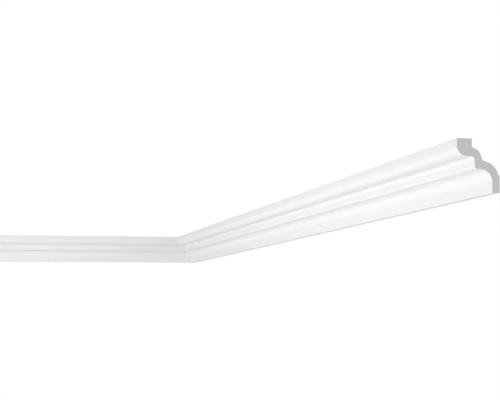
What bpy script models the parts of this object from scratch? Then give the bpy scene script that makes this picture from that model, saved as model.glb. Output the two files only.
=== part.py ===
"""Cornice moulding: a long and a short length that meet in a mitred inside corner.

The lengths close the angle between a wall and a ceiling. Seen in section, the face steps down
from the ceiling through a fascia, an ovolo, a fillet, a middle fascia and a round, then falls in
a cove to a plain foot on the wall. The back is relieved, so only a wall flange and a ceiling
flange touch the room.

The long length runs along X on a wall that faces -Y. The short length runs along -Y from the
long length's low-X end, on a wall that faces +X. The origin is the middle of the long length's
wall flange. Run it with blender --background --python part.py, or from Blender's text editor.
"""

import math
from dataclasses import dataclass

import bmesh
import bpy
from mathutils import Matrix, Vector

# Driving dimensions, in metres
HEIGHT = 0.055
PROJECTION = 0.045
LONG_WALL_LENGTH = 2.0
SHORT_WALL_LENGTH = 0.45
WALL_FLANGE = 0.0174
CEILING_FLANGE = 0.016
JOINT_GAP = 0.0003

# Face members. Out is the distance from the wall, and up the height above the underside
OVOLO_RADIUS = 0.0108
UPPER_SOFFIT_UP = 0.037
FILLET_RADIUS = 0.0043
MIDDLE_FASCIA_OUT = 0.0263
ROUND_RADIUS = 0.0032
LOWER_SOFFIT_UP = 0.0242
COVE_RADIUS = 0.0132
FOOT_THICKNESS = 0.0079
ARRIS_RADIUS = 0.0012

# Relieved back, from the wall flange up to the ceiling flange
FLANGE_CHAMFER = 0.0018
SHOULDER_OUT, SHOULDER_UP, SHOULDER_RADIUS = 0.0046, 0.0294, 0.0165
WAIST_OUT, WAIST_UP, WAIST_RADIUS = 0.0177, 0.0327, 0.005
NECK_OUT, NECK_UP, NECK_RADIUS = 0.0214, 0.0426, 0.006
HEEL_UP, HEEL_RADIUS = 0.0464, 0.002

# Rounds are faceted so that no flat leaves its arc by more than this
ARC_TOLERANCE = 0.00003
SHARP_ANGLE = math.radians(30.0)


@dataclass
class Corner:
    """A corner of the section, and the radius of the round that eases it."""

    out: float
    up: float
    radius: float = 0.0


def face_corners():
    """The corners of the face, from the ceiling down to the foot."""
    return [
        Corner(PROJECTION, HEIGHT),
        Corner(PROJECTION, UPPER_SOFFIT_UP, OVOLO_RADIUS),
        Corner(MIDDLE_FASCIA_OUT, UPPER_SOFFIT_UP, FILLET_RADIUS),
        Corner(MIDDLE_FASCIA_OUT, LOWER_SOFFIT_UP, ROUND_RADIUS),
        Corner(FOOT_THICKNESS, LOWER_SOFFIT_UP, COVE_RADIUS),
        Corner(FOOT_THICKNESS, 0.0, ARRIS_RADIUS),
    ]


def back_corners():
    """The corners of the back, from the foot of the wall flange up to the ceiling."""
    flange_back = PROJECTION - CEILING_FLANGE
    return [
        Corner(0.0, 0.0),
        Corner(0.0, WALL_FLANGE),
        Corner(FLANGE_CHAMFER, WALL_FLANGE + FLANGE_CHAMFER),
        Corner(SHOULDER_OUT, SHOULDER_UP, SHOULDER_RADIUS),
        Corner(WAIST_OUT, WAIST_UP, WAIST_RADIUS),
        Corner(NECK_OUT, NECK_UP, NECK_RADIUS),
        Corner(flange_back, HEEL_UP, HEEL_RADIUS),
        Corner(flange_back, HEIGHT),
    ]


def eased(before, corner, after):
    """The points that take the section round one corner."""
    tip = Vector((corner.out, corner.up))
    if corner.radius == 0.0:
        return [tip]
    inward = (Vector((before.out, before.up)) - tip).normalized()
    onward = (Vector((after.out, after.up)) - tip).normalized()
    half_angle = inward.angle(onward) / 2.0
    centre = tip + (inward + onward).normalized() * corner.radius / math.sin(half_angle)
    start = tip + inward * corner.radius / math.tan(half_angle) - centre
    sweep = start.angle_signed(tip + onward * corner.radius / math.tan(half_angle) - centre)
    widest_step = 2.0 * math.acos(1.0 - ARC_TOLERANCE / corner.radius)
    steps = math.ceil(abs(sweep) / widest_step)
    return [
        centre + Matrix.Rotation(-sweep * step / steps, 2) @ start
        for step in range(steps + 1)
    ]


def section():
    """The closed outline of the section, as points (out, up)."""
    corners = face_corners() + back_corners()
    points = []
    for index, corner in enumerate(corners):
        after = corners[(index + 1) % len(corners)]
        points += eased(corners[index - 1], corner, after)
    return points


def painted_foam():
    """Hard polystyrene foam under a smooth white prime coat."""
    material = bpy.data.materials.new("white_primed_foam")
    material.use_nodes = True
    shader = material.node_tree.nodes["Principled BSDF"]
    shader.inputs["Base Color"].default_value = (0.84, 0.84, 0.83, 1.0)
    shader.inputs["Roughness"].default_value = 0.6
    shader.inputs["Metallic"].default_value = 0.0
    return material


def moulding(name, wall_length, origin, along, away, material):
    """One length, square at its far end and mitred at the corner of the room.

    origin is the foot of the room's corner, along the run's direction away from that corner,
    and away the direction from its wall into the room.
    """
    up = Vector((0.0, 0.0, 1.0))
    mesh = bpy.data.meshes.new(name)
    solid = bmesh.new()
    square_end = [
        solid.verts.new(origin + along * wall_length + away * point.x + up * point.y)
        for point in section()
    ]
    extruded = bmesh.ops.extrude_face_region(solid, geom=[solid.faces.new(square_end)])
    mitred_end = [item for item in extruded["geom"] if isinstance(item, bmesh.types.BMVert)]
    joint_setback = JOINT_GAP / 2.0 * math.sqrt(2.0)
    for vertex in mitred_end:
        out = (vertex.co - origin).dot(away)
        vertex.co -= along * (wall_length - out - joint_setback)
    bmesh.ops.recalc_face_normals(solid, faces=solid.faces)
    solid.to_mesh(mesh)
    solid.free()
    mesh.shade_smooth()
    mesh.set_sharp_from_angle(angle=SHARP_ANGLE)
    mesh.materials.append(material)
    piece = bpy.data.objects.new(name, mesh)
    bpy.context.scene.collection.objects.link(piece)
    return piece


def main():
    for old in list(bpy.data.objects):
        bpy.data.objects.remove(old, do_unlink=True)
    material = painted_foam()
    room_corner = Vector((-LONG_WALL_LENGTH / 2.0, 0.0, -WALL_FLANGE / 2.0))
    along_x = Vector((1.0, 0.0, 0.0))
    along_minus_y = Vector((0.0, -1.0, 0.0))
    moulding(
        "long_cornice_length", LONG_WALL_LENGTH, room_corner, along_x, along_minus_y, material
    )
    moulding(
        "short_cornice_length", SHORT_WALL_LENGTH, room_corner, along_minus_y, along_x, material
    )


main()
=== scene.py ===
"""The looks of a primed cornice moulding: two lengths that meet in a mitred inside corner.

Both lengths are swept from one section by Geometry Nodes, closed at the mitre, and sawn square at
the other end. The moulded faces carry a smooth white prime coat, and the saw opens the light grey
foam inside it. The studio has soft lamps, a pale round floor far below, and a backdrop that is
white behind the moulding and fades into pale haze. Sizes are in metres.
"""

from __future__ import annotations

import logging
import math
import random
from dataclasses import dataclass
from enum import Enum

import bmesh
import bpy
from mathutils import Matrix, Vector, noise
from mathutils.geometry import delaunay_2d_cdt


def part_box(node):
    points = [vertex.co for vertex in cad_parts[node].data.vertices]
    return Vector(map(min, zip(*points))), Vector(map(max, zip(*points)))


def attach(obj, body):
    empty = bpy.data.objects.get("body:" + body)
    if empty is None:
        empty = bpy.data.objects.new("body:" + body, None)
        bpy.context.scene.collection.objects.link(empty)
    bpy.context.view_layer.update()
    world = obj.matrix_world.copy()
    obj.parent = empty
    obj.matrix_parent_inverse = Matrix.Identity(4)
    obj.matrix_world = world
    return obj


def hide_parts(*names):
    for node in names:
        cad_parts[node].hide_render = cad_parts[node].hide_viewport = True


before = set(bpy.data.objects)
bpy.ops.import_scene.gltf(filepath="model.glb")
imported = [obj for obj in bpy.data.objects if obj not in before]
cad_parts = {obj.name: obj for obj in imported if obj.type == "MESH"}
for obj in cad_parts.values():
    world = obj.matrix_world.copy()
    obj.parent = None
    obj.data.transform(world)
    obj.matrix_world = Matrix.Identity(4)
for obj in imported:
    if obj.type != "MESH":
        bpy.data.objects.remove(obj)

LOG = logging.getLogger("cornice")
MM = 0.001
MERGE_DISTANCE = 0.001 * MM
CUT_TOLERANCE = 0.01 * MERGE_DISTANCE
UP = Vector((0.0, 0.0, 1.0))
PURE_WHITE = (1.0, 1.0, 1.0, 1.0)

# The flat cutter's number for filling a closed outline with triangles
TRIANGLES_INSIDE = 1

Place = tuple[float, float, float]
Colour = tuple[float, float, float, float]
Socket = bpy.types.NodeSocket


class Wall(Enum):
    """The two walls of the room, each by the way a length runs and the way it stands out."""

    LONG = ((1.0, 0.0, 0.0), (0.0, -1.0, 0.0))
    SHORT = ((0.0, -1.0, 0.0), (1.0, 0.0, 0.0))

    @property
    def along(self) -> Vector:
        """The way a length runs, from the corner of the room to its square end."""
        return Vector(self.value[0])

    @property
    def away(self) -> Vector:
        """The way out from the wall into the room."""
        return Vector(self.value[1])


class Blend(Enum):
    """What a Mix node mixes: its data type, then its two inputs and its output by number."""

    SHARE = ("FLOAT", 2, 3, 0)
    COLOUR = ("RGBA", 6, 7, 2)


@dataclass(frozen=True)
class Corner:
    """A corner of the section: its distance from the wall, its height and its round."""

    out: float
    up: float
    radius: float


@dataclass
class Section:
    """The section that both lengths share, measured out from the wall and up from the foot."""

    height: float
    projection: float
    wall_flange: float = 17.4 * MM
    ceiling_flange: float = 16.0 * MM
    ovolo_radius: float = 10.8 * MM
    upper_soffit_up: float = 37.0 * MM
    fillet_radius: float = 4.3 * MM
    middle_fascia_out: float = 26.3 * MM
    round_radius: float = 3.2 * MM
    lower_soffit_up: float = 24.2 * MM
    cove_radius: float = 13.2 * MM
    foot_thickness: float = 7.9 * MM
    foot_arris_radius: float = 1.2 * MM
    flange_chamfer: float = 1.8 * MM
    shoulder: Corner = Corner(4.6 * MM, 29.4 * MM, 16.5 * MM)
    waist: Corner = Corner(17.7 * MM, 32.7 * MM, 5.0 * MM)
    neck: Corner = Corner(21.4 * MM, 42.6 * MM, 6.0 * MM)
    heel_up: float = 46.4 * MM
    heel_radius: float = 2.0 * MM
    eased_edge: float = 0.25 * MM
    arc_tolerance: float = 0.004 * MM

    def corners(self) -> list[Corner]:
        """Sets out the corners of the section.

        Returns:
            The corners in order, down the face and up the relieved back.
        """
        flange_back = self.projection - self.ceiling_flange
        chamfer_up = self.wall_flange + self.flange_chamfer
        return [
            Corner(self.projection, self.height, self.eased_edge),
            Corner(self.projection, self.upper_soffit_up, self.ovolo_radius),
            Corner(self.middle_fascia_out, self.upper_soffit_up, self.fillet_radius),
            Corner(self.middle_fascia_out, self.lower_soffit_up, self.round_radius),
            Corner(self.foot_thickness, self.lower_soffit_up, self.cove_radius),
            Corner(self.foot_thickness, 0.0, self.foot_arris_radius),
            Corner(0.0, 0.0, self.eased_edge),
            Corner(0.0, self.wall_flange, self.eased_edge),
            Corner(self.flange_chamfer, chamfer_up, self.eased_edge),
            self.shoulder,
            self.waist,
            self.neck,
            Corner(flange_back, self.heel_up, self.heel_radius),
            Corner(flange_back, self.height, self.eased_edge),
        ]

    def eased(self, before: Corner, corner: Corner, after: Corner) -> list[Vector]:
        """Takes the outline round one corner on an arc.

        Args:
            before: The corner that the outline comes from.
            corner: The corner to ease.
            after: The corner that the outline goes to.

        Returns:
            The points of the arc, both its ends among them.
        """
        tip = Vector((corner.out, corner.up))
        inward = (Vector((before.out, before.up)) - tip).normalized()
        onward = (Vector((after.out, after.up)) - tip).normalized()
        half_angle = inward.angle(onward) / 2.0
        setback = corner.radius / math.tan(half_angle)
        centre = tip + (inward + onward).normalized() * corner.radius / math.sin(half_angle)
        start = tip + inward * setback - centre
        sweep = start.angle_signed(tip + onward * setback - centre)
        widest_step = 2.0 * math.acos(1.0 - self.arc_tolerance / corner.radius)
        steps = math.ceil(abs(sweep) / widest_step)
        return [
            centre + Matrix.Rotation(-sweep * step / steps, 2) @ start
            for step in range(steps + 1)
        ]

    def outline(self) -> list[Vector]:
        """Draws the section.

        Returns:
            The closed outline, as points (out, up).
        """
        corners = self.corners()
        points: list[Vector] = []
        for index, corner in enumerate(corners):
            after = corners[(index + 1) % len(corners)]
            points += self.eased(corners[index - 1], corner, after)
        return points


class NodeSheet:
    """A node tree that short calls fill."""

    def __init__(self, tree: bpy.types.NodeTree) -> None:
        """Starts with an empty tree."""
        self.tree = tree
        tree.nodes.clear()

    def add(self, kind: str, inputs: dict | None = None, **settings: object) -> bpy.types.Node:
        """Adds one node.

        Args:
            kind: The node's type name.
            inputs: What goes into each socket, by name or number: a value, or an output to link.
            **settings: The node's own properties.

        Returns:
            The new node.
        """
        node = self.tree.nodes.new(kind)
        for name, value in settings.items():
            setattr(node, name, value)
        for socket, value in (inputs or {}).items():
            self.feed(node.inputs[socket], value)
        return node

    def feed(self, socket: Socket, value: object) -> None:
        """Gives an input socket what goes into it.

        Args:
            socket: The input socket.
            value: An output to link, or a plain value to set.
        """
        if isinstance(value, Socket):
            self.tree.links.new(value, socket)
        else:
            socket.default_value = value

    def math(self, operation: str, *values: object) -> Socket:
        """The result of a Math node on values or outputs."""
        return self.add("ShaderNodeMath", dict(enumerate(values)), operation=operation).outputs[0]

    def plus(self, first: Socket, second: Socket) -> Socket:
        """The sum of two vectors."""
        return self.add("ShaderNodeVectorMath", {0: first, 1: second}, operation="ADD").outputs[0]

    def times(self, vector: Vector | Socket, factor: Socket) -> Socket:
        """A vector made longer by a factor."""
        scaled = self.add("ShaderNodeVectorMath", {0: vector, "Scale": factor}, operation="SCALE")
        return scaled.outputs[0]

    def soft_noise(self, place: Socket, per_metre: float, detail: float) -> Socket:
        """Noise from 0 to 1, with this many lumps to the metre."""
        inputs = {"Vector": place, "Scale": per_metre, "Detail": detail}
        return self.add("ShaderNodeTexNoise", inputs).outputs[0]

    def blend(self, kind: Blend, share: object, first: object, second: object) -> Socket:
        """Mixes two values.

        Args:
            kind: What is mixed.
            share: How much of the second value there is, from 0 to 1.
            first: The value at a share of 0.
            second: The value at a share of 1.

        Returns:
            The mix.
        """
        data_type, low, high, result = kind.value
        inputs = {"Factor": share, low: first, high: second}
        return self.add("ShaderNodeMix", inputs, data_type=data_type).outputs[result]

    def blend_shaders(self, share: Socket, first: bpy.types.Node, second: bpy.types.Node) -> Socket:
        """The first node's shader at a share of 0, and the second's at a share of 1."""
        inputs = {0: share, 1: first.outputs[0], 2: second.outputs[0]}
        return self.add("ShaderNodeMixShader", inputs).outputs[0]


class SweepTree:
    """Geometry Nodes that sweep a section along a wall, from its mitre to its square end."""

    INPUTS = {
        "Section": "NodeSocketGeometry",
        "Wall Length": "NodeSocketFloat",
        "Joint Setback": "NodeSocketFloat",
        "Bays": "NodeSocketInt",
        "Room Corner": "NodeSocketVector",
        "Along": "NodeSocketVector",
        "Away": "NodeSocketVector",
        "Coat": "NodeSocketMaterial",
    }

    def __init__(self) -> None:
        """Makes the tree, its named inputs and its nodes."""
        self.tree = bpy.data.node_groups.new("mitred_sweep", "GeometryNodeTree")
        face = self.tree.interface
        self.sockets = {
            name: face.new_socket(name=name, in_out="INPUT", socket_type=kind)
            for name, kind in self.INPUTS.items()
        }
        face.new_socket(name="Moulding", in_out="OUTPUT", socket_type="NodeSocketGeometry")
        sheet = NodeSheet(self.tree)
        given = sheet.add("NodeGroupInput").outputs
        section = self.captured_section(sheet, given["Section"])
        rail = self.captured_rail(sheet, given["Bays"])
        curves = {"Curve": rail.outputs[0], "Profile Curve": section.outputs[0]}
        swept = sheet.add("GeometryNodeCurveToMesh", curves)
        out, up = section.outputs["Out"], section.outputs["Up"]
        spot = self.spot(sheet, given, out, up, rail.outputs["Share"])
        placed = sheet.add("GeometryNodeSetPosition", {0: swept.outputs[0], "Position": spot})
        real = sheet.add("GeometryNodeRealizeInstances", {0: placed.outputs[0]})
        dressing = {0: real.outputs[0], "Material": given["Coat"]}
        coated = sheet.add("GeometryNodeSetMaterial", dressing)
        sheet.add("NodeGroupOutput", {0: coated.outputs[0]})

    @staticmethod
    def captured_section(sheet: NodeSheet, section: Socket) -> bpy.types.Node:
        """Keeps how far out and up each point of the section is.

        Args:
            sheet: The tree's sheet.
            section: The outline, with out along X and up along Y.

        Returns:
            The capture node, with outputs Out and Up.
        """
        position = sheet.add("GeometryNodeInputPosition").outputs[0]
        place = sheet.add("ShaderNodeSeparateXYZ", {0: position})
        capture = sheet.add("GeometryNodeCaptureAttribute", {0: section}, domain="POINT")
        for name, source in (("Out", "X"), ("Up", "Y")):
            capture.capture_items.new("FLOAT", name)
            sheet.feed(capture.inputs[name], place.outputs[source])
        return capture

    @staticmethod
    def captured_rail(sheet: NodeSheet, bays: Socket) -> bpy.types.Node:
        """Makes the rail to sweep along, and keeps each point's share of the way.

        Args:
            sheet: The tree's sheet.
            bays: How many bays the rail has.

        Returns:
            The capture node, with output Share.
        """
        line = sheet.add("GeometryNodeCurvePrimitiveLine", {"End": UP})
        points = sheet.math("ADD", bays, 1.0)
        rail = sheet.add("GeometryNodeResampleCurve", {"Curve": line.outputs[0], "Count": points})
        capture = sheet.add("GeometryNodeCaptureAttribute", {0: rail.outputs[0]}, domain="POINT")
        capture.capture_items.new("FLOAT", "Share")
        share = sheet.add("GeometryNodeSplineParameter").outputs["Factor"]
        sheet.feed(capture.inputs["Share"], share)
        return capture

    @staticmethod
    def spot(
        sheet: NodeSheet, given: bpy.types.NodeOutputs, out: Socket, up: Socket, share: Socket
    ) -> Socket:
        """Where a point of the sweep lies: slid along its wall, as far as the mitre asks.

        Args:
            sheet: The tree's sheet.
            given: The tree's inputs.
            out: How far the point is from the wall.
            up: How far the point is above the foot.
            share: The point's share of the way from the mitre to the square end.

        Returns:
            The point's place.
        """
        mitre = sheet.math("ADD", out, given["Joint Setback"])
        reach = sheet.math("SUBTRACT", given["Wall Length"], mitre)
        slide = sheet.math("MULTIPLY_ADD", share, reach, mitre)
        place = sheet.plus(given["Room Corner"], sheet.times(UP, up))
        place = sheet.plus(place, sheet.times(given["Away"], out))
        return sheet.plus(place, sheet.times(given["Along"], slide))

    def sweep(self, section: bpy.types.Object, values: dict) -> bpy.types.Mesh:
        """Sweeps a section.

        Args:
            section: The curve object of the closed outline.
            values: The tree's inputs by name, all but the section.

        Returns:
            The skin of the moulding, open at both ends.
        """
        modifier = section.modifiers.new("sweep", "NODES")
        modifier.node_group = self.tree
        for name, value in values.items():
            modifier[self.sockets[name].identifier] = value
        graph = bpy.context.evaluated_depsgraph_get()
        mesh = bpy.data.meshes.new_from_object(section.evaluated_get(graph), depsgraph=graph)
        section.modifiers.remove(modifier)
        return mesh


def blank_material(name: str) -> tuple[bpy.types.Material, NodeSheet]:
    """Makes a material to fill.

    Args:
        name: The material's name.

    Returns:
        The material and its empty sheet of nodes.
    """
    material = bpy.data.materials.new(name)
    material.use_nodes = True
    return material, NodeSheet(material.node_tree)


@dataclass(frozen=True)
class PrimeCoat:
    """Smooth white primer, with faint lines the way it was drawn and the peel of its spray."""

    white: Colour = (0.785, 0.785, 0.78, 1.0)
    thin: Colour = (0.77, 0.77, 0.765, 1.0)
    smoothest: float = 0.5
    roughest: float = 0.62
    clouds_per_metre: float = 6.0
    cloud_detail: float = 4.0
    lines_per_metre: float = 500.0
    line_detail: float = 2.0
    line_stretch: float = 0.004
    line_depth: float = 0.008 * MM
    peel_per_metre: float = 350.0
    peel_detail: float = 1.0
    peel_depth: float = 0.012 * MM

    def material(self, wall: Wall) -> bpy.types.Material:
        """Builds the coat for one length.

        Args:
            wall: The wall that the length runs along, and so the way its lines run.

        Returns:
            The coat's material.
        """
        material, sheet = blank_material(f"white_prime_coat_{wall.name.lower()}")
        place = sheet.add("ShaderNodeTexCoord").outputs["Object"]
        clouds = sheet.soft_noise(place, self.clouds_per_metre, self.cloud_detail)
        stretch = [self.line_stretch if part else 1.0 for part in wall.along]
        drawn = sheet.add("ShaderNodeMapping", {"Vector": place, "Scale": stretch}).outputs[0]
        lines = sheet.soft_noise(drawn, self.lines_per_metre, self.line_detail)
        peel = sheet.soft_noise(place, self.peel_per_metre, self.peel_detail)
        colour = sheet.blend(Blend.COLOUR, clouds, self.white, self.thin)
        roughness = sheet.add(
            "ShaderNodeMapRange",
            {"Value": clouds, "To Min": self.smoothest, "To Max": self.roughest},
        ).outputs[0]
        lined = sheet.add("ShaderNodeBump", {"Height": lines, "Distance": self.line_depth})
        peeled = sheet.add(
            "ShaderNodeBump",
            {"Height": peel, "Distance": self.peel_depth, "Normal": lined.outputs[0]},
        )
        shader = sheet.add(
            "ShaderNodeBsdfPrincipled",
            {"Base Color": colour, "Roughness": roughness, "Normal": peeled.outputs[0]},
        )
        sheet.add("ShaderNodeOutputMaterial", {0: shader.outputs[0]})
        return material


@dataclass(frozen=True)
class SawnFoam:
    """Light grey foam that a saw has opened, with its fine cells and the streaks of the saw."""

    light: Colour = (0.547, 0.547, 0.535, 1.0)
    dark: Colour = (0.497, 0.497, 0.485, 1.0)
    cells_per_metre: float = 1900.0
    cell_depth: float = 0.06 * MM
    streaks_per_metre: float = 700.0
    streak_detail: float = 3.0
    streak_stretch: float = 0.06
    streak_share: float = 0.6
    roughness: float = 0.9

    def material(self) -> bpy.types.Material:
        """Builds the foam.

        Returns:
            The foam's material.
        """
        material, sheet = blank_material("sawn_grey_foam")
        place = sheet.add("ShaderNodeTexCoord").outputs["Object"]
        cells = sheet.add(
            "ShaderNodeTexVoronoi", {"Vector": place, "Scale": self.cells_per_metre}
        ).outputs["Distance"]
        upright = sheet.add(
            "ShaderNodeMapping", {"Vector": place, "Scale": (1.0, 1.0, self.streak_stretch)}
        ).outputs[0]
        streaks = sheet.soft_noise(upright, self.streaks_per_metre, self.streak_detail)
        shade = sheet.blend(Blend.SHARE, self.streak_share, cells, streaks)
        colour = sheet.blend(Blend.COLOUR, shade, self.dark, self.light)
        pitted = sheet.add("ShaderNodeBump", {"Height": cells, "Distance": self.cell_depth})
        shader = sheet.add(
            "ShaderNodeBsdfPrincipled",
            {"Base Color": colour, "Roughness": self.roughness, "Normal": pitted.outputs[0]},
        )
        sheet.add("ShaderNodeOutputMaterial", {0: shader.outputs[0]})
        return material


@dataclass
class SawnEnd:
    """The square end: a thin rim of prime coat round the sawn foam."""

    coat_thickness: float = 0.1 * MM
    ring_spacing: float = 0.8 * MM
    grain_size: float = 0.45 * MM
    grain_jitter: float = 0.12 * MM
    stroke_pitch: float = 1.3 * MM
    stroke_length: float = 14.0 * MM
    stroke_depth: float = 0.06 * MM
    seed: int = 7

    def ring(self, outline: list[Vector]) -> list[Vector]:
        """The inside of the coat.

        Args:
            outline: The section's outline.

        Returns:
            The outline moved in by the coat's thickness, with its long straights divided.
        """
        inner: list[Vector] = []
        for index, point in enumerate(outline):
            before = (point - outline[index - 1]).normalized()
            after = (outline[(index + 1) % len(outline)] - point).normalized()
            turn = (before + after).normalized()
            inward = Vector((turn.y, -turn.x))
            inner.append(point + inward * self.coat_thickness)
        ring: list[Vector] = []
        for index, point in enumerate(inner):
            onward = inner[(index + 1) % len(inner)] - point
            parts = max(1, math.ceil(onward.length / self.ring_spacing))
            ring += [point + onward * part / parts for part in range(parts)]
        return ring

    @staticmethod
    def holds(ring: list[Vector], point: Vector) -> bool:
        """Tells whether a point lies inside a closed ring.

        Args:
            ring: The corners of the ring, in order.
            point: The point to test.

        Returns:
            True inside the ring, by how often a level line from the point crosses it.
        """
        inside = False
        for index, end in enumerate(ring):
            start = ring[index - 1]
            if (start.y > point.y) != (end.y > point.y):
                crossing = start.x + (point.y - start.y) * (end.x - start.x) / (end.y - start.y)
                inside ^= point.x < crossing
        return inside

    def grains(self, ring: list[Vector]) -> list[Vector]:
        """Points spread evenly over the foam, a little out of line.

        Args:
            ring: The inside of the coat.

        Returns:
            The points, in rows of triangles, and none of them close to the ring.
        """
        draw = random.Random(self.seed)
        row_height = self.grain_size * math.sqrt(3.0) / 2.0
        rows = math.ceil(max(point.y for point in ring) / row_height)
        columns = math.ceil(max(point.x for point in ring) / self.grain_size)
        points: list[Vector] = []
        for row in range(rows):
            for column in range(columns):
                spot = Vector(((column + 0.5 * (row % 2)) * self.grain_size, row * row_height))
                spot.x += draw.uniform(-self.grain_jitter, self.grain_jitter)
                spot.y += draw.uniform(-self.grain_jitter, self.grain_jitter)
                nearest = min((spot - edge).length_squared for edge in ring)
                if nearest > (self.grain_size / 2.0) ** 2 and self.holds(ring, spot):
                    points.append(spot)
        return points

    def depth(self, spot: Vector) -> float:
        """Works out how deep the saw has bitten.

        Args:
            spot: A spot of the foam, as (out, up).

        Returns:
            The depth, between nothing and the full depth of a stroke.
        """
        across, down = spot.x / self.stroke_pitch, spot.y / self.stroke_length
        swing = noise.noise(Vector((across, down, float(self.seed))))
        return self.stroke_depth * (0.5 + 0.5 * swing)


@dataclass
class MouldingLength:
    """One length of the moulding, with a mitre at one end and a saw cut at the other."""

    name: str
    node: str
    wall: Wall
    section: Section
    room_corner: Vector
    wall_length: float
    bay_length: float = 50.0 * MM
    joint_setback: float = 0.002 * MM
    slot: str = "primed_foam"
    sharp_angle: float = math.radians(25.0)

    def place(self, spot: Vector, slide: float) -> Vector:
        """Where a spot (out, up) of the section lies, this far along the wall."""
        foot = self.room_corner + self.wall.away * spot.x
        return foot + UP * spot.y + self.wall.along * slide

    def guide(self, outline: list[Vector]) -> bpy.types.Object:
        """Draws the section as a curve for the nodes to sweep.

        Args:
            outline: The section's outline.

        Returns:
            The closed curve object, out along X and up along Y.
        """
        curve = bpy.data.curves.new(f"{self.name}_section", "CURVE")
        spline = curve.splines.new("POLY")
        spline.points.add(len(outline) - 1)
        for spot, point in zip(spline.points, outline):
            spot.co = (point.x, point.y, 0.0, 1.0)
        spline.use_cyclic_u = True
        guide = bpy.data.objects.new(curve.name, curve)
        bpy.context.scene.collection.objects.link(guide)
        return guide

    def skin(
        self, sweep: SweepTree, outline: list[Vector], coat: bpy.types.Material
    ) -> bpy.types.Mesh:
        """Sweeps the coated faces.

        Args:
            sweep: The tree that sweeps a section.
            outline: The section's outline.
            coat: The finish of the moulded faces.

        Returns:
            The skin, open at both ends.
        """
        guide = self.guide(outline)
        values = {
            "Wall Length": self.wall_length,
            "Joint Setback": self.joint_setback,
            "Bays": round(self.wall_length / self.bay_length),
            "Room Corner": self.room_corner,
            "Along": self.wall.along,
            "Away": self.wall.away,
            "Coat": coat,
        }
        mesh = sweep.sweep(guide, values)
        mesh.name = self.name
        bpy.data.objects.remove(guide, do_unlink=True)
        return mesh

    def close_mitre(self, shape: bmesh.types.BMesh, outline: list[Vector]) -> None:
        """Closes the mitred end with one flat face.

        Args:
            shape: The mesh to close.
            outline: The section's outline.
        """
        spots = [self.place(point, point.x + self.joint_setback) for point in outline]
        shape.faces.new([shape.verts.new(spot) for spot in spots])

    def close_square_end(
        self, shape: bmesh.types.BMesh, outline: list[Vector], end: SawnEnd, foam_slot: int
    ) -> None:
        """Closes the square end with the rim of the coat and the sawn foam.

        Args:
            shape: The mesh to close.
            outline: The section's outline.
            end: How the end is sawn.
            foam_slot: The material slot of the foam.
        """
        ring = end.ring(outline)
        spots = outline + ring + end.grains(ring)
        rim = len(outline)
        first_grain = rim + len(ring)
        loops = [(index, (index + 1) % rim) for index in range(rim)]
        loops += [(rim + index, rim + (index + 1) % len(ring)) for index in range(len(ring))]
        cut = delaunay_2d_cdt(spots, loops, [], TRIANGLES_INSIDE, CUT_TOLERANCE)
        cut_spots, _, faces, sources, _, _ = cut
        corners = []
        for spot, origins in zip(cut_spots, sources):
            # The saw bites into the foam alone, so that the coat's rim stays flat
            bitten = end.depth(spot) if min(origins, default=0) >= first_grain else 0.0
            corners.append(shape.verts.new(self.place(spot, self.wall_length - bitten)))
        for face in faces:
            triangle = shape.faces.new([corners[index] for index in face])
            middle = sum((cut_spots[index] for index in face), Vector((0.0, 0.0))) / len(face)
            if end.holds(ring, middle):
                triangle.material_index = foam_slot

    def build(
        self, sweep: SweepTree, end: SawnEnd, coat: bpy.types.Material, foam: bpy.types.Material
    ) -> bpy.types.Object:
        """Builds the finished length.

        Args:
            sweep: The tree that sweeps a section.
            end: How the square end is sawn.
            coat: The finish of the moulded faces.
            foam: The finish of the sawn face.

        Returns:
            The piece, which rides on the part's body in place of its node.
        """
        outline = self.section.outline()
        mesh = self.skin(sweep, outline, coat)
        mesh.materials.append(foam)
        shape = bmesh.new()
        shape.from_mesh(mesh)
        self.close_mitre(shape, outline)
        self.close_square_end(shape, outline, end, len(mesh.materials) - 1)
        bmesh.ops.remove_doubles(shape, verts=shape.verts, dist=MERGE_DISTANCE)
        bmesh.ops.recalc_face_normals(shape, faces=shape.faces)
        # Only the mitre's face has more than four corners
        bmesh.ops.triangulate(shape, faces=[face for face in shape.faces if len(face.verts) > 4])
        shape.to_mesh(mesh)
        shape.free()
        mesh.shade_smooth()
        mesh.set_sharp_from_angle(angle=self.sharp_angle)
        piece = bpy.data.objects.new(self.name, mesh)
        bpy.context.scene.collection.objects.link(piece)
        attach(piece, "root")
        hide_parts(self.node)
        return piece


@dataclass(frozen=True)
class SoftBox:
    """A square lamp with a soft edge, that the camera doesn't see."""

    name: str
    place: Place
    power: float
    aim: Place = (-0.2, 0.0, 0.02)
    width: float = 1.2

    def build(self) -> None:
        """Hangs the lamp and turns it to what it lights."""
        lamp = bpy.data.lights.new(self.name, "AREA")
        lamp.shape = "SQUARE"
        lamp.size = self.width
        lamp.energy = self.power
        holder = bpy.data.objects.new(self.name, lamp)
        holder.location = self.place
        beam = Vector(self.aim) - Vector(self.place)
        holder.rotation_euler = beam.to_track_quat("-Z", "Y").to_euler()
        holder.visible_camera = False
        bpy.context.scene.collection.objects.link(holder)


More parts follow.
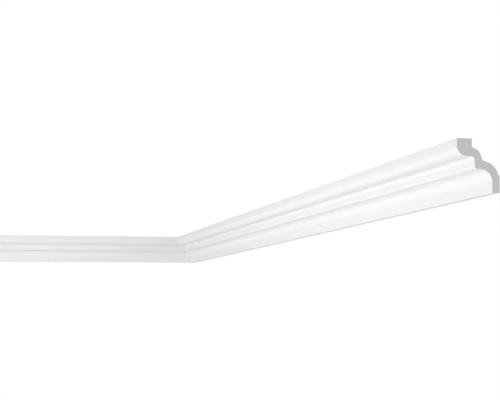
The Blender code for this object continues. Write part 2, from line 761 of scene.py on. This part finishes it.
@dataclass
class Studio:
    """Soft lamps, a pale floor, a backdrop and the camera of the photograph."""

    room_corner: Vector
    surround: float = 0.589
    haze: float = 0.62
    backdrop_way: Place = (-0.98, 0.19, 0.07)
    backdrop_inner: float = math.radians(20.0)
    backdrop_outer: float = math.radians(60.0)
    floor_drop: float = 4.0
    floor_reach: float = 50.0
    floor_sides: int = 128
    floor_white: Colour = (0.8, 0.8, 0.8, 1.0)
    floor_roughness: float = 0.9
    camera_out: Place = (3.55295, -0.55417, -0.12904)
    camera_turn: float = math.radians(10.828)
    camera_rise: float = math.radians(4.283)
    camera_lens: float = 116.425
    camera_sensor: float = 36.0
    lamps: tuple[SoftBox, ...] = (
        SoftBox("low_front", (1.2, -1.8, -1.8), 33.0),
        SoftBox("level_front", (0.5, -2.5, 0.0), 19.5),
        SoftBox("end_fill", (3.5, 1.5, 0.0), 40.5),
        SoftBox("far_fill", (-3.0, -1.2, -1.2), 7.5),
        SoftBox("top_light", (-1.7, 0.7, 3.0), 30.0),
        SoftBox("back_light", (-1.5, 3.0, 2.0), 36.0, aim=(0.0, 0.0, 0.0), width=2.0),
    )

    def floor_finish(self) -> bpy.types.Material:
        """Builds a matt finish, which a camera under the floor looks through.

        Returns:
            The floor's material.
        """
        material, sheet = blank_material("pale_floor")
        matt = sheet.add(
            "ShaderNodeBsdfPrincipled",
            {"Base Color": self.floor_white, "Roughness": self.floor_roughness},
        )
        clear = sheet.add("ShaderNodeBsdfTransparent")
        underside = sheet.add("ShaderNodeNewGeometry").outputs["Backfacing"]
        looked_at = sheet.add("ShaderNodeLightPath").outputs["Is Camera Ray"]
        open_share = sheet.math("MULTIPLY", underside, looked_at)
        mixed = sheet.blend_shaders(open_share, matt, clear)
        sheet.add("ShaderNodeOutputMaterial", {0: mixed})
        return material

    def build_floor(self) -> None:
        """Lays the plain pale floor, far below the moulding."""
        mesh = bpy.data.meshes.new("floor")
        disc = bmesh.new()
        bmesh.ops.create_circle(
            disc, cap_ends=True, segments=self.floor_sides, radius=self.floor_reach
        )
        disc.to_mesh(mesh)
        disc.free()
        mesh.materials.append(self.floor_finish())
        floor = bpy.data.objects.new("floor", mesh)
        floor.location.z = self.room_corner.z - self.floor_drop
        bpy.context.scene.collection.objects.link(floor)

    def build_surround(self) -> None:
        """Puts up the backdrop, white round the way the camera looks and hazy past that.

        The moulding feels the surround as one even soft light, whichever way it is seen.
        """
        world = bpy.data.worlds.new("white_surround")
        world.use_nodes = True
        sheet = NodeSheet(world.node_tree)
        beyond = sheet.add("ShaderNodeTexCoord").outputs["Generated"]
        facing = sheet.add(
            "ShaderNodeVectorMath", {0: beyond, 1: self.backdrop_way}, operation="DOT_PRODUCT"
        ).outputs["Value"]
        glow = sheet.add(
            "ShaderNodeMapRange",
            {
                "Value": facing,
                "From Min": math.cos(self.backdrop_outer),
                "From Max": math.cos(self.backdrop_inner),
                "To Min": self.haze,
                "To Max": 1.0,
            },
            interpolation_type="SMOOTHSTEP",
        ).outputs[0]
        seen = sheet.add("ShaderNodeBackground", {"Color": PURE_WHITE, "Strength": glow})
        felt = sheet.add("ShaderNodeBackground", {"Color": PURE_WHITE, "Strength": self.surround})
        looked_at = sheet.add("ShaderNodeLightPath").outputs["Is Camera Ray"]
        mixed = sheet.blend_shaders(looked_at, felt, seen)
        sheet.add("ShaderNodeOutputWorld", {0: mixed})
        bpy.context.scene.world = world

    def build_camera(self) -> None:
        """Stands the camera where the photograph was taken from."""
        lens = bpy.data.cameras.new("photo_camera")
        lens.lens = self.camera_lens
        lens.sensor_width = self.camera_sensor
        camera = bpy.data.objects.new("photo_camera", lens)
        camera.location = self.room_corner + Vector(self.camera_out)
        level = math.pi / 2.0
        camera.rotation_euler = (level + self.camera_rise, 0.0, level - self.camera_turn)
        bpy.context.scene.collection.objects.link(camera)
        bpy.context.scene.camera = camera

    def build(self) -> None:
        """Sets up everything round the moulding."""
        self.build_floor()
        self.build_surround()
        self.build_camera()
        for lamp in self.lamps:
            lamp.build()
        bpy.context.scene.view_settings.view_transform = "Standard"


def main() -> None:
    """Builds the two lengths and the studio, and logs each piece."""
    logging.basicConfig(level=logging.INFO, format="%(message)s")
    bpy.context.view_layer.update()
    long_low, long_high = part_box("long_cornice_length")
    short_low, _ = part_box("short_cornice_length")
    room_corner = Vector((short_low.x, long_high.y, long_low.z))
    section = Section(height=long_high.z - long_low.z, projection=long_high.y - long_low.y)
    lengths = (
        MouldingLength(
            name="long_moulding",
            node="long_cornice_length",
            wall=Wall.LONG,
            section=section,
            room_corner=room_corner,
            wall_length=long_high.x - room_corner.x,
        ),
        MouldingLength(
            name="short_moulding",
            node="short_cornice_length",
            wall=Wall.SHORT,
            section=section,
            room_corner=room_corner,
            wall_length=room_corner.y - short_low.y,
        ),
    )
    sweep = SweepTree()
    foam = SawnFoam().material()
    for length in lengths:
        piece = length.build(sweep, SawnEnd(), PrimeCoat().material(length.wall), foam)
        LOG.info("%s: %d faces", piece.name, len(piece.data.polygons))
    studio = Studio(room_corner)
    studio.build()
    LOG.info("studio: %d lamps", len(studio.lamps))


if __name__ == "__main__":
    main()
